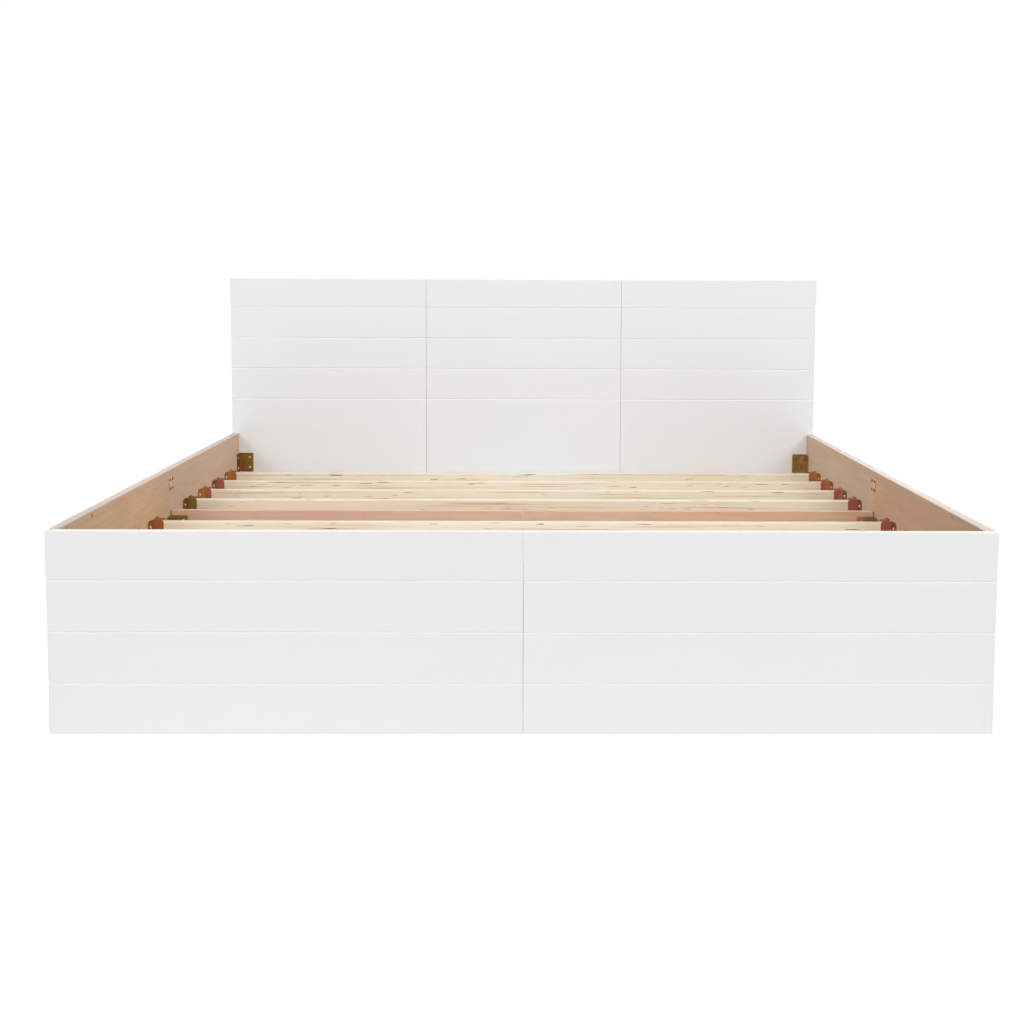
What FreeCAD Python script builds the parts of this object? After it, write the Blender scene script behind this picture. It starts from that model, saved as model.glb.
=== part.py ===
import FreeCAD, Part
import math
import os

# King size bed frame made of flat boards, with four drawers under the mattress.
# +X is to the right seen from the foot end, +Y runs from foot to head, +Z is up.
# The origin is the middle of the footprint, on the floor.  Sizes are millimetres.

# Boards
BED_WIDTH = 1860.0  # over the outer faces of the side rails
INSIDE_LENGTH = 2020.0  # foot panel to headboard, room for a 2000 mattress
FOOT_T = 18.0
HEAD_T = 18.0
RAIL_T = 22.0
DIVIDER_T = 18.0
FOOT_HEIGHT = 404.0  # also the top of the side rails
HEAD_HEIGHT = 895.0
HEAD_PANELS = ("left", "centre", "right")
FOOT_PANELS = ("left", "right")
PANEL_GAP = 0.6  # between two boards that meet edge to edge
EDGE_EASE = 1.5  # bevel along the top edges
DIVIDER_END_GAP = 3.0  # between the divider and a rail

# V grooves that divide the white boards into planks
GROOVE_W = 4.0
GROOVE_D = 2.5
FOOT_TOP_PLANK = 98.5
FOOT_PLANK = 102.5
FOOT_GROOVES = 3
HEAD_TOP_PLANK = 90.0
HEAD_PLANK = 97.0
HEAD_GROOVES = 4

# Battens and cleats behind the panel joints
BATTEN_T = 18.0
BATTEN_H = 100.0
BATTEN_INSET = 60.0  # from the side edge of the headboard
BATTEN_UPPER_Z = 700.0
BATTEN_LOWER_Z = 250.0
CLEAT_W = 120.0
CLEAT_T = 18.0
CLEAT_INSET = 40.0  # below the slats' top and above the floor

# Slats
SLAT_DROP = 104.0  # from the top of the rails to the top of the slats
SLAT_T = 30.0
SLAT_H = 60.0
SLATS_PER_HALF = 4
SLAT_END_GAP = 2.0

# Pressed steel slat hangers
STEEL_T = 2.0
HANGER_DEPTH = 29.0
HANGER_FIT = 0.4  # beside the slat
HANGER_RISE = 5.0  # of the walls over the slat
HANGER_FLANGE = 40.0
HANGER_CORNER = 7.0
HANGER_SCREW_DROP = 16.0  # from the top of the flange
FLANGE_CORNER = 7.0

# Angle brackets and flat joint plates
BRACKET_LEG = 45.0
BRACKET_H = 60.0
BRACKET_T = 2.5
BRACKET_BEND = 2.0
BRACKET_CORNER = 1.0
BRACKET_HOLE_OUT = 34.0  # from the corner to the holes
BRACKET_HOLE_IN = 14.0  # from the upper and lower edge to the holes
CORNER_BRACKET_DROP = 64.0  # from the top of the rails
DIVIDER_BRACKET_DROP = 118.0
DIVIDER_BRACKET_STEP = 20.0  # the pair behind the divider sits lower
PLATE_L = 40.0
PLATE_H = 36.0
PLATE_CORNER = 4.0
PLATE_PITCH_Y = 26.0
PLATE_PITCH_Z = 23.0
PLATE_DROP = 37.0  # from the top of the rails to its middle

# Screws
SCREW_R = 2.0
SCREW_HEAD_R = 4.0
SCREW_HEAD_TOP_R = 2.6
SCREW_HEAD_H = 2.2
SCREW_BITE = 8.0  # length in the wood
SCREW_SIDES = 6

# Dowel holes near the foot end of the side rails
DOWEL_R = 5.0
DOWEL_DEPTH = 10.0
DOWEL_DROP = 10.0
DOWEL_FIRST = 57.0
DOWEL_SECOND = 250.0

# Drawers
DRAWER_REVEAL = 3.0  # gap round the fronts
DRAWER_FLOOR_GAP = 8.0
DRAWER_DEPTH = 620.0
DRAWER_SIDE_T = 12.0
DRAWER_SIDE_H = 140.0
DRAWER_SIDE_LIFT = 20.0  # over the lower edge of the front
BOTTOM_T = 6.0
BOTTOM_LIFT = 10.0  # over the lower edge of the sides
BOTTOM_GROOVE = 6.0
BOTTOM_FIT = 0.2
NOTCH_W = 140.0
NOTCH_D = 24.0
NOTCH_CORNER = 12.0

# Telescopic drawer slides: two channels and a hat section, each held by the next one's lips
SLIDE_L = 600.0
SLIDE_H = 45.0
SLIDE_W = 12.7
SLIDE_T = 1.2
SLIDE_FIT = 0.3
SLIDE_LIP = 4.0
SLIDE_SETBACK = 4.0  # behind the drawer front

CUT_PAST = 1.0  # overshoot of a cut beyond an open face
NEAR = 0.001  # lengths closer than this count as equal

V = FreeCAD.Vector
UP = V(0, 0, 1)

# Planes that the pieces share
half_width = BED_WIDTH / 2
rail_in = half_width - RAIL_T
length = FOOT_T + INSIDE_LENGTH + HEAD_T + BATTEN_T
foot_front = -length / 2
foot_in = foot_front + FOOT_T
head_in = foot_in + INSIDE_LENGTH
head_back = head_in + HEAD_T
middle = (foot_in + head_in) / 2
divider_foot = middle - DIVIDER_T / 2
divider_head = middle + DIVIDER_T / 2
slat_top = FOOT_HEIGHT - SLAT_DROP
slat_bottom = slat_top - SLAT_H
foot_grooves = [FOOT_HEIGHT - FOOT_TOP_PLANK - i * FOOT_PLANK for i in range(FOOT_GROOVES)]
head_grooves = [HEAD_HEIGHT - HEAD_TOP_PLANK - i * HEAD_PLANK for i in range(HEAD_GROOVES)]
drawer_line = FOOT_HEIGHT - FOOT_TOP_PLANK - FOOT_PLANK
rail_bottom = drawer_line + DRAWER_REVEAL / 2
drawer_top = drawer_line - DRAWER_REVEAL / 2
slat_pitch = INSIDE_LENGTH / (2 * (SLATS_PER_HALF + 1))
slat_numbers = [k for k in range(1, 2 * SLATS_PER_HALF + 2) if k != SLATS_PER_HALF + 1]
slat_ys = [foot_in + k * slat_pitch for k in slat_numbers]

nodes = {}


def prism(corners, origin, u, v, along):
    """Solid whose section has the corners (u, v), or (u, v, radius) for a round one."""
    flat = [V(c[0], c[1], 0) for c in corners]
    radii = [c[2] if len(c) > 2 else 0.0 for c in corners]
    stations = []
    for i, p in enumerate(flat):
        back = (flat[i - 1] - p).normalize()
        ahead = (flat[(i + 1) % len(flat)] - p).normalize()
        if radii[i] <= 0:
            stations.append((p, None, p))
            continue
        inside = math.acos(max(-1.0, min(1.0, back.dot(ahead))))
        reach = radii[i] / math.tan(inside / 2)
        centre = p + (back + ahead).normalize() * (radii[i] / math.sin(inside / 2))
        crown = centre + (p - centre).normalize() * radii[i]
        stations.append((p + back * reach, crown, p + ahead * reach))

    def place(p):
        return origin + u * p.x + v * p.y

    edges = []
    for i, (start, crown, end) in enumerate(stations):
        if crown is not None:
            edges.append(Part.Arc(place(start), place(crown), place(end)).toShape())
        follow = stations[(i + 1) % len(stations)][0]
        if (follow - end).Length > NEAR:
            edges.append(Part.LineSegment(place(end), place(follow)).toShape())
    solid = Part.Face(Part.Wire(edges)).extrude(along)
    if solid.Volume < 0:
        solid.reverse()
    return solid


def board_section(near, far, bottom, top, grooves=()):
    """Depth and height of a board: the near face has grooves, the top is bevelled."""
    corners = [(near, bottom)]
    for z in sorted(grooves):
        corners += [(near, z - GROOVE_W / 2), (near + GROOVE_D, z), (near, z + GROOVE_W / 2)]
    corners += [(near, top - EDGE_EASE), (near + EDGE_EASE, top)]
    corners += [(far - EDGE_EASE, top), (far, top - EDGE_EASE), (far, bottom)]
    return corners


def strip_section(thickness, bottom, top):
    """Depth and height of a strip on the back of a board, with bevelled far edges."""
    bevel = thickness - EDGE_EASE
    return [
        (0, bottom),
        (0, top),
        (bevel, top),
        (thickness, top - EDGE_EASE),
        (thickness, bottom + EDGE_EASE),
        (bevel, bottom),
    ]


def end_board(x0, x1, y, section):
    """Board across the bed with its show face towards the foot end."""
    return prism(section, V(x0, y, 0), V(0, 1, 0), UP, V(x1 - x0, 0, 0))


def side_board(side, y0, y1, section):
    """Board along the bed with its show face outwards."""
    return prism(section, V(side * half_width, y0, 0), V(-side, 0, 0), UP, V(0, y1 - y0, 0))


def add(name, *solids):
    nodes.setdefault(name, []).extend(solids)


def panel_row(prefix, names, y, section):
    """Equal panels side by side across the bed, with a gap at each joint."""
    pitch = BED_WIDTH / len(names)
    joints = [-half_width + i * pitch for i in range(1, len(names))]
    lefts = [-half_width] + [x + PANEL_GAP / 2 for x in joints]
    rights = [x - PANEL_GAP / 2 for x in joints] + [half_width]
    for name, x0, x1 in zip(names, lefts, rights):
        add(prefix + name, end_board(x0, x1, y, section))


def ring(radius, at, axis):
    """Corners of a many-sided outline round a level axis."""
    other = axis.cross(UP)
    turns = [2 * math.pi * i / SCREW_SIDES for i in range(SCREW_SIDES)]
    return [at + UP * (radius * math.cos(a)) + other * (radius * math.sin(a)) for a in turns]


def flat_face(points):
    return Part.Face(Part.makePolygon(points + points[:1]))


def screw(seat, axis, reach):
    """Pan head screw: its head sits on the seat and its shank goes along the axis."""
    low = ring(SCREW_HEAD_R, seat, axis)
    high = ring(SCREW_HEAD_TOP_R, seat - axis * SCREW_HEAD_H, axis)
    outlines = [low, high] + [[low[i - 1], low[i], high[i], high[i - 1]] for i in range(SCREW_SIDES)]
    head = Part.Solid(Part.Shell([flat_face(points) for points in outlines]))
    shank = flat_face(ring(SCREW_R, seat, axis)).extrude(axis * reach)
    for piece in (head, shank):
        if piece.Volume < 0:
            piece.reverse()
    return head.fuse(shank).removeSplitter().Solids[0]


# Headboard: upright panels side by side, held by two battens on the back
head_section = board_section(0, HEAD_T, 0, HEAD_HEIGHT, head_grooves)
panel_row("headboard_panel_", HEAD_PANELS, head_in, head_section)
batten_half = half_width - BATTEN_INSET
for name, z in (("upper", BATTEN_UPPER_Z), ("lower", BATTEN_LOWER_Z)):
    section = strip_section(BATTEN_T, z - BATTEN_H / 2, z + BATTEN_H / 2)
    add("headboard_batten_" + name, end_board(-batten_half, batten_half, head_back, section))

# Foot end: two panels, with a cleat behind their joint
foot_section = board_section(0, FOOT_T, 0, FOOT_HEIGHT, foot_grooves)
panel_row("foot_panel_", FOOT_PANELS, foot_front, foot_section)


def cleat(name, face):
    """Upright cleat on the head side of two boards that meet in the middle."""
    section = strip_section(CLEAT_T, CLEAT_INSET, slat_top - CLEAT_INSET)
    add(name, end_board(-CLEAT_W / 2, CLEAT_W / 2, face, section))


cleat("foot_joint_cleat", foot_in)

# Transverse divider: two halves that stand on the floor, level with the slats
divider_section = board_section(0, DIVIDER_T, 0, slat_top)
divider_end = rail_in - DIVIDER_END_GAP
add("divider_left", end_board(-divider_end, -PANEL_GAP / 2, divider_foot, divider_section))
add("divider_right", end_board(PANEL_GAP / 2, divider_end, divider_foot, divider_section))
cleat("divider_joint_cleat", divider_head)

# Side rails: two boards on each side, with dowel holes near the foot end
rail_grooves = [z for z in foot_grooves if z > rail_bottom + GROOVE_W]
rail_section = board_section(0, RAIL_T, rail_bottom, FOOT_HEIGHT, rail_grooves)
sides = {"left": -1, "right": 1}
for name, side in sides.items():
    foot_half = side_board(side, foot_in, middle - PANEL_GAP / 2, rail_section)
    head_half = side_board(side, middle + PANEL_GAP / 2, head_in, rail_section)
    bores = [
        Part.makeCylinder(
            DOWEL_R, DOWEL_DEPTH, V(side * rail_in, foot_in + y, FOOT_HEIGHT - DOWEL_DROP), V(side, 0, 0)
        )
        for y in (DOWEL_FIRST, DOWEL_SECOND)
    ]
    add("side_rail_%s_foot" % name, foot_half.cut(bores))
    add("side_rail_%s_head" % name, head_half)

# Slats, numbered from the foot end
slat_half = rail_in - SLAT_END_GAP
slat_section = board_section(-SLAT_T / 2, SLAT_T / 2, slat_bottom, slat_top)
for number, y in enumerate(slat_ys, 1):
    add("slat_%d" % number, end_board(-slat_half, slat_half, y, slat_section))

# Slat hangers: a trough that takes the end of the slat, and a flange on each side
pocket = SLAT_T / 2 + HANGER_FIT
trough = pocket + STEEL_T
hanger_top = slat_top + HANGER_RISE
hanger_bottom = slat_bottom - STEEL_T


def hanger(side, y):
    """One hanger on the inner face of a rail, and the seats of its screws."""
    face = V(side * rail_in, y, 0)
    inward = V(-side, 0, 0)
    wall = [
        (0, hanger_bottom),
        (0, hanger_top),
        (HANGER_DEPTH, hanger_top, HANGER_CORNER),
        (HANGER_DEPTH, hanger_bottom),
    ]
    body = prism(
        [(-trough, hanger_bottom), (trough, hanger_bottom), (trough, slat_bottom), (-trough, slat_bottom)],
        face,
        V(0, 1, 0),
        UP,
        inward * HANGER_DEPTH,
    )
    seats = []
    for way in (-1, 1):
        across = V(0, way, 0)
        plate = prism(wall, face + across * pocket, inward, UP, across * STEEL_T)
        edge = trough + HANGER_FLANGE
        flange = prism(
            [
                (pocket, hanger_bottom),
                (edge - FLANGE_CORNER, hanger_bottom),
                (edge, hanger_bottom + FLANGE_CORNER),
                (edge, hanger_top - FLANGE_CORNER),
                (edge - FLANGE_CORNER, hanger_top),
                (pocket, hanger_top),
            ],
            face,
            across,
            UP,
            inward * STEEL_T,
        )
        out = trough + HANGER_FLANGE / 2
        seats.append(face + across * out + UP * (hanger_top - HANGER_SCREW_DROP) + inward * STEEL_T)
        body = body.fuse([plate, flange])
    return body.removeSplitter().Solids[0], seats


for name, side in sides.items():
    for y in slat_ys:
        solid, seats = hanger(side, y)
        add("slat_hangers_" + name, solid)
        for seat in seats:
            add("hanger_screws", screw(seat, V(side, 0, 0), STEEL_T + SCREW_BITE))


def bracket(side, face, way, top):
    """Angle bracket between a rail and a board across the bed, and its screws."""
    corner = V(side * rail_in, face, top)
    inward = V(-side, 0, 0)
    across = V(0, way, 0)
    section = [
        (0, 0, BRACKET_BEND + BRACKET_T),
        (BRACKET_LEG, 0),
        (BRACKET_LEG, BRACKET_T),
        (BRACKET_T, BRACKET_T, BRACKET_BEND),
        (BRACKET_T, BRACKET_LEG),
        (0, BRACKET_LEG),
    ]
    solid = prism(section, corner, inward, across, UP * -BRACKET_H)
    tips = []
    for e in solid.Edges:
        mid = e.CenterOfMass - corner
        if abs(e.Length - BRACKET_T) > NEAR:
            continue
        if max(mid.dot(inward), mid.dot(across)) > BRACKET_LEG - NEAR:
            tips.append(e)
    solid = solid.makeChamfer(BRACKET_CORNER, tips)
    fixings = []
    for z in (-BRACKET_HOLE_IN, BRACKET_HOLE_IN - BRACKET_H):
        at = corner + UP * z
        fixings.append((at + inward * BRACKET_T + across * BRACKET_HOLE_OUT, inward * -1))
        fixings.append((at + across * BRACKET_T + inward * BRACKET_HOLE_OUT, across * -1))
    return solid.Solids[0], fixings


# Angle brackets: in the four corners, and on both faces of the divider
corner_top = FOOT_HEIGHT - CORNER_BRACKET_DROP
divider_top = FOOT_HEIGHT - DIVIDER_BRACKET_DROP
for side in sides.values():
    for face, way, top in (
        (foot_in, 1, corner_top),
        (head_in, -1, corner_top),
        (divider_foot, -1, divider_top),
        (divider_head, 1, divider_top - DIVIDER_BRACKET_STEP),
    ):
        solid, fixings = bracket(side, face, way, top)
        add("angle_brackets", solid)
        for seat, axis in fixings:
            add("bracket_screws", screw(seat, axis, BRACKET_T + SCREW_BITE))


def plate_section(l, h, c):
    """Plate of half length l and half height h with its corners cut by c."""
    right = [(l - c, -h), (l, c - h), (l, h - c), (l - c, h)]
    return right + [(-u, -v) for u, v in right]


# Flat plates over the joints of the side rails
plate_z = FOOT_HEIGHT - PLATE_DROP
for side in sides.values():
    corners = plate_section(PLATE_L / 2, PLATE_H / 2, PLATE_CORNER)
    centre = V(side * rail_in, middle, plate_z)
    inward = V(-side, 0, 0)
    plate = prism(corners, centre, V(0, 1, 0), UP, inward * STEEL_T)
    seats = [
        centre + V(0, u * PLATE_PITCH_Y / 2, v * PLATE_PITCH_Z / 2) + inward * STEEL_T
        for u in (-1, 1)
        for v in (-1, 1)
    ]
    axis = V(side, 0, 0)
    add("rail_joint_plates", plate)
    for seat in seats:
        add("joint_plate_screws", screw(seat, axis, STEEL_T + SCREW_BITE))

# Drawers: a front with a finger notch, a box with a loose bottom, and two slides
box_bottom = DRAWER_FLOOR_GAP + DRAWER_SIDE_LIFT
box_top = box_bottom + DRAWER_SIDE_H
panel_low = box_bottom + BOTTOM_LIFT
panel_high = panel_low + BOTTOM_T
slide_z = box_bottom + DRAWER_SIDE_H / 2
front_grooves = [z for z in foot_grooves if DRAWER_FLOOR_GAP + GROOVE_W < z < drawer_top - GROOVE_W]
front_section = board_section(0, RAIL_T, DRAWER_FLOOR_GAP, drawer_top, front_grooves)


def mirrored(upper):
    """Closed section from its upper half, listed from the wall's side outwards and back."""
    return upper + [(u, -v) for u, v in reversed(upper)]


def channel(half, near, far):
    """C section with its web near the wall and turned-in lips away from it."""
    inner = near + SLIDE_T
    return mirrored(
        [
            (inner, half - SLIDE_T),
            (far - SLIDE_T, half - SLIDE_T),
            (far - SLIDE_T, half - SLIDE_LIP),
            (far, half - SLIDE_LIP),
            (far, half),
            (near, half),
        ]
    )


def hat(half, tip, near, far):
    """Hat section with its crown away from the wall and turned-out feet near it."""
    return mirrored(
        [
            (far - SLIDE_T, half - SLIDE_T),
            (near, half - SLIDE_T),
            (near, tip),
            (near + SLIDE_T, tip),
            (near + SLIDE_T, half),
            (far, half),
        ]
    )


step = SLIDE_T + SLIDE_FIT
outer_half = SLIDE_H / 2
middle_half = outer_half - step
inner_half = middle_half - SLIDE_LIP - SLIDE_FIT
outer_section = channel(outer_half, 0, 4 * step + SLIDE_T)
middle_section = channel(middle_half, step, 3 * step + SLIDE_T)
inner_section = hat(inner_half, middle_half - step, 2 * step, SLIDE_W)


def slide_member(section, side, wall, way):
    """One slide member beside a wall, along the drawer's path."""
    at = V(side * (rail_in - SLIDE_SETBACK), wall, slide_z)
    return prism(section, at, V(0, way, 0), UP, V(-side * SLIDE_L, 0, 0))


def drawer(name, side, wall_low, wall_high, front_low, front_high):
    """One drawer between two walls of its bay."""
    x_in = -side * DRAWER_DEPTH
    mid = (front_low + front_high) / 2
    front = side_board(side, front_low, front_high, front_section)
    notch = prism(
        [
            (-NOTCH_W / 2, drawer_top + CUT_PAST),
            (-NOTCH_W / 2, drawer_top - NOTCH_D, NOTCH_CORNER),
            (NOTCH_W / 2, drawer_top - NOTCH_D, NOTCH_CORNER),
            (NOTCH_W / 2, drawer_top + CUT_PAST),
        ],
        V(side * (half_width + CUT_PAST), mid, 0),
        V(0, 1, 0),
        UP,
        V(-side * (RAIL_T + 2 * CUT_PAST), 0, 0),
    )
    box_low = wall_low + SLIDE_W
    box_high = wall_high - SLIDE_W
    in_low = box_low + DRAWER_SIDE_T
    in_high = box_high - DRAWER_SIDE_T
    slot = prism(
        [
            (in_low - BOTTOM_GROOVE, panel_low - BOTTOM_FIT),
            (in_high + BOTTOM_GROOVE, panel_low - BOTTOM_FIT),
            (in_high + BOTTOM_GROOVE, panel_high + BOTTOM_FIT),
            (in_low - BOTTOM_GROOVE, panel_high + BOTTOM_FIT),
        ],
        V(side * (rail_in + BOTTOM_GROOVE), 0, 0),
        V(0, 1, 0),
        UP,
        V(-side * (BOTTOM_GROOVE + DRAWER_DEPTH + CUT_PAST), 0, 0),
    )
    add(name + "_front", front.cut([notch, slot]).Solids[0])
    for number, (a, b) in enumerate(((box_low, in_low), (in_high, box_high)), 1):
        section = board_section(a, b, box_bottom, box_top)
        board = prism(section, V(side * rail_in, 0, 0), V(0, 1, 0), UP, V(x_in, 0, 0))
        add("%s_side_%d" % (name, number), board.cut(slot).Solids[0])
    section = board_section(0, DRAWER_SIDE_T, panel_high, box_top)
    rear = V(side * rail_in + x_in, in_low, 0)
    add(name + "_back", prism(section, rear, V(side, 0, 0), UP, V(0, in_high - in_low, 0)))
    tuck = BOTTOM_GROOVE - BOTTOM_FIT
    sheet = [
        (in_low - tuck, panel_low),
        (in_high + tuck, panel_low),
        (in_high + tuck, panel_high),
        (in_low - tuck, panel_high),
    ]
    edge = V(side * (rail_in + tuck), 0, 0)
    add(name + "_bottom", prism(sheet, edge, V(0, 1, 0), UP, V(-side * (DRAWER_DEPTH + tuck), 0, 0)))
    for wall, way in ((wall_low, 1), (wall_high, -1)):
        add("slide_fixed_channels", slide_member(outer_section, side, wall, way))
        add(name + "_slide_middle", slide_member(middle_section, side, wall, way))
        add(name + "_slide_inner", slide_member(inner_section, side, wall, way))


for name, side in sides.items():
    drawer(
        "drawer_%s_foot" % name,
        side,
        foot_in,
        divider_foot,
        foot_in + DRAWER_REVEAL,
        middle - DRAWER_REVEAL / 2,
    )
    drawer(
        "drawer_%s_head" % name,
        side,
        divider_head,
        head_in,
        middle + DRAWER_REVEAL / 2,
        head_in - DRAWER_REVEAL,
    )

# The screws cut their holes in the steel and in the boards that it is fixed to
screws = [s for name, solids in nodes.items() if name.endswith("_screws") for s in solids]
fixed = ("headboard_panel", "foot_panel", "divider_left", "divider_right", "side_rail")
steel = ("slat_hangers", "angle_brackets", "rail_joint_plates")
for name, solids in nodes.items():
    if not name.startswith(fixed + steel):
        continue
    for i, solid in enumerate(solids):
        near = [s for s in screws if s.BoundBox.intersect(solid.BoundBox)]
        if near:
            solids[i] = solid.cut(near).Solids[0]

os.makedirs("parts", exist_ok=True)
for name, solids in nodes.items():
    shape = solids[0] if len(solids) == 1 else Part.makeCompound(solids)
    shape.exportStep("parts/%s.step" % name)
print(len(nodes), "nodes,", sum(len(s) for s in nodes.values()), "solids")
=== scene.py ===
import math

import bmesh
import bpy
from bpy.props import FloatProperty, FloatVectorProperty, IntProperty, PointerProperty
from mathutils import Matrix, Vector


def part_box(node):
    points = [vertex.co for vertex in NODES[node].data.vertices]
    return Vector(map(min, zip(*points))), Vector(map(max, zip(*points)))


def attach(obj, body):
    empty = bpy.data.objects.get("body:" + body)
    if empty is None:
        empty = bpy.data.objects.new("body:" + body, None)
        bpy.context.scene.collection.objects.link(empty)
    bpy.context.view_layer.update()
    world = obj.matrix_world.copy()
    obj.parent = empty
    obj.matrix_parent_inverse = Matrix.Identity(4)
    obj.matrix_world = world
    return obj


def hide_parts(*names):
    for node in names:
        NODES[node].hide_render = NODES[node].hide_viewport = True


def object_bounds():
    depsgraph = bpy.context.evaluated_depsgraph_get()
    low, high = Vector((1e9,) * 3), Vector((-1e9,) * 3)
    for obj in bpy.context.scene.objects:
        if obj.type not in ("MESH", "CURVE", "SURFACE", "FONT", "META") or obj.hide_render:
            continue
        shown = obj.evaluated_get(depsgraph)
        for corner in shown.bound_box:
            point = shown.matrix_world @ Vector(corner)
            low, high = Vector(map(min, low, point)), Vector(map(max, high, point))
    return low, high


bl_info = {
    "name": "Bed With Drawers",
    "version": (1, 0, 0),
    "blender": (4, 5, 0),
    "location": "View3D > Sidebar > Bed",
    "description": "Finishes the boards, slats, steel fittings and drawers of a flat-pack bed frame",
    "category": "Object",
}

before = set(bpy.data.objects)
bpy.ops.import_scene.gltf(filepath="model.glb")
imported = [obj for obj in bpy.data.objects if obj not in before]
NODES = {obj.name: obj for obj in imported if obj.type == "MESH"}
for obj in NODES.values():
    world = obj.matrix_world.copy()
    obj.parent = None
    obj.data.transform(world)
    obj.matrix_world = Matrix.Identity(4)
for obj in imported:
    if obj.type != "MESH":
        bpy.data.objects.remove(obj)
CAD_BOX = [list(corner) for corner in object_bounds()]

MM = 0.001
SIDES = {"left": -1.0, "right": 1.0}
DRAWERS = ["drawer_%s_%s" % (side, end) for side in SIDES for end in ("foot", "head")]
HEAD_PANELS = ["headboard_panel_" + name for name in ("left", "centre", "right")]
FOOT_PANELS = ["foot_panel_left", "foot_panel_right"]
DIVIDERS = ["divider_left", "divider_right"]
SLATS = ["slat_%d" % number for number in range(1, 9)]
RAIL_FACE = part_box("slat_hangers_right")[1].x
RAIL_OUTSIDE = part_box("side_rail_right_foot")[1].x
HEAD_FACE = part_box("headboard_panel_left")[0].y
FOOT_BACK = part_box("foot_panel_left")[1].y
CORNER_ZONE = 0.1  # brackets this near to the foot end or the headboard are corner brackets
WELD_REACH = 0.01 * MM  # points of neighbouring CAD faces lie closer than this
GRAIN_STEP = (13.1, 7.7, 11.3)  # moves the grain on from board to board


def linear(code):
    """Scene-linear red, green and blue of an sRGB hex colour."""
    parts = [int(code[i : i + 2], 16) / 255 for i in (1, 3, 5)]
    return [c / 12.92 if c <= 0.04045 else ((c + 0.055) / 1.055) ** 2.4 for c in parts]


def colour(name, description, code):
    """A colour that the sidebar offers, with its sRGB hex default."""
    return FloatVectorProperty(
        name=name, description=description, subtype="COLOR", size=3, min=0, max=1, default=linear(code)
    )


class BedColours(bpy.types.PropertyGroup):
    lacquer: colour("Lacquer", "White satin lacquer of the foot end, rails and drawer fronts", "#F5F5F5")
    # Painted light: the headboard is the same paint as the foot panels; this cooler, darker copy offsets the
    # warm light bounced onto it from the wood.
    headboard: colour("Headboard lacquer", "White satin lacquer of the headboard, a little cooler", "#EAEEF1")
    # Painted highlight: the panels' top edges take a lighter, warmer copy of the lacquer, standing in for light
    # from above.
    top_edge_painted_highlight: colour("Panel top edge", "Lacquer on the top edges of the foot and head panels", "#F8F5EE")
    # Painted highlight on the grooves' upward lower slopes; the paint there is the same lacquer as the boards.
    groove: colour("Groove", "Thicker lacquer on the lower slopes of the foot panels' grooves", "#FFFFFF")
    # Painted shade: both rails' top edges carry the same overspray; the left one is darker for light that falls
    # on it more weakly.
    edge_left: colour("Left rail edge", "Thin lacquer on the left rail's top edge", "#CABCB0")
    edge_right: colour("Right rail edge", "Thin lacquer on the right rail's top edge", "#DED3CB")
    # The head and foot halves of each rail are different veneer; the right rail's foot half is also darker than
    # the left's as painted shade, for light that falls on it more weakly.
    rail_left_foot: colour("Left rail, foot half", "Veneer inside the left rail near the foot", "#DEBD9D")
    rail_left_head: colour("Left rail, head half", "Veneer inside the left rail near the head", "#DBBEA5")
    rail_right_foot: colour("Right rail, foot half", "Veneer inside the right rail near the foot", "#D1AE92")
    rail_right_head: colour("Right rail, head half", "Veneer inside the right rail near the head", "#D8BCA4")
    divider: colour("Divider", "Reddish veneer of the transverse divider", "#D7B49D")
    inside: colour("Inside veneer", "Veneer behind the white boards", "#D3B398")
    slat_face: colour("Slat face", "Laminated softwood of the slats' upright faces", "#F2E7D2")
    # The paler tone is partly paler wood and partly painted light, offsetting the foot panel's shadow on these
    # slats.
    slat_pale: colour("Pale slat face", "Paler softwood of the slats in the foot half", "#FEF3DE")
    # Painted shade: the slats' top faces take a darker copy of their wood, offsetting the stronger light from
    # above.
    slat_top: colour("Slat top", "Planed upper edge of the slats", "#E4DCCE")
    seam: colour("Slat seam", "Tan glue lines between the slats' veneers", "#CBA87E")
    streak: colour("Slat streak", "Resin and voids between the slats' veneers", "#8A6547")
    drawer: colour("Drawer ply", "Birch plywood of the drawer boxes", "#E3CBA4")
    red: colour("Zinc, red", "Red tone of the passivated steel", "#B4695E")
    copper: colour("Zinc, copper", "Copper tone of the passivated steel", "#B4713F")
    gold: colour("Zinc, gold", "Gold tone of the passivated steel", "#B78F45")
    olive: colour("Zinc, olive", "Olive green tone of the passivated steel", "#857C33")
    brown: colour("Zinc, brown", "Brown tone of the passivated steel", "#8A5A26")
    tan: colour("Zinc, tan", "Dull tan tone of the passivated steel", "#A5834E")
    # The dark tone goes on the hangers' upward faces: partly the film's red-brown, partly painted shade for the
    # shaded lips of their walls.
    dark: colour("Zinc, dark", "Red-brown tone of the hangers' upper edges", "#7A4A3A")
    pale: colour("Zinc, pale", "Pale straw tone of the screws", "#E6DBBE")
    plate: colour("Zinc, plate", "Tan tone of the joint plates", "#CDB594")
    bright: colour("Bright zinc", "Blue-white zinc of the slides and cams", "#C9CCCE")
    floor: colour("Floor", "Pale studio floor", "#F4F4F4")


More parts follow.
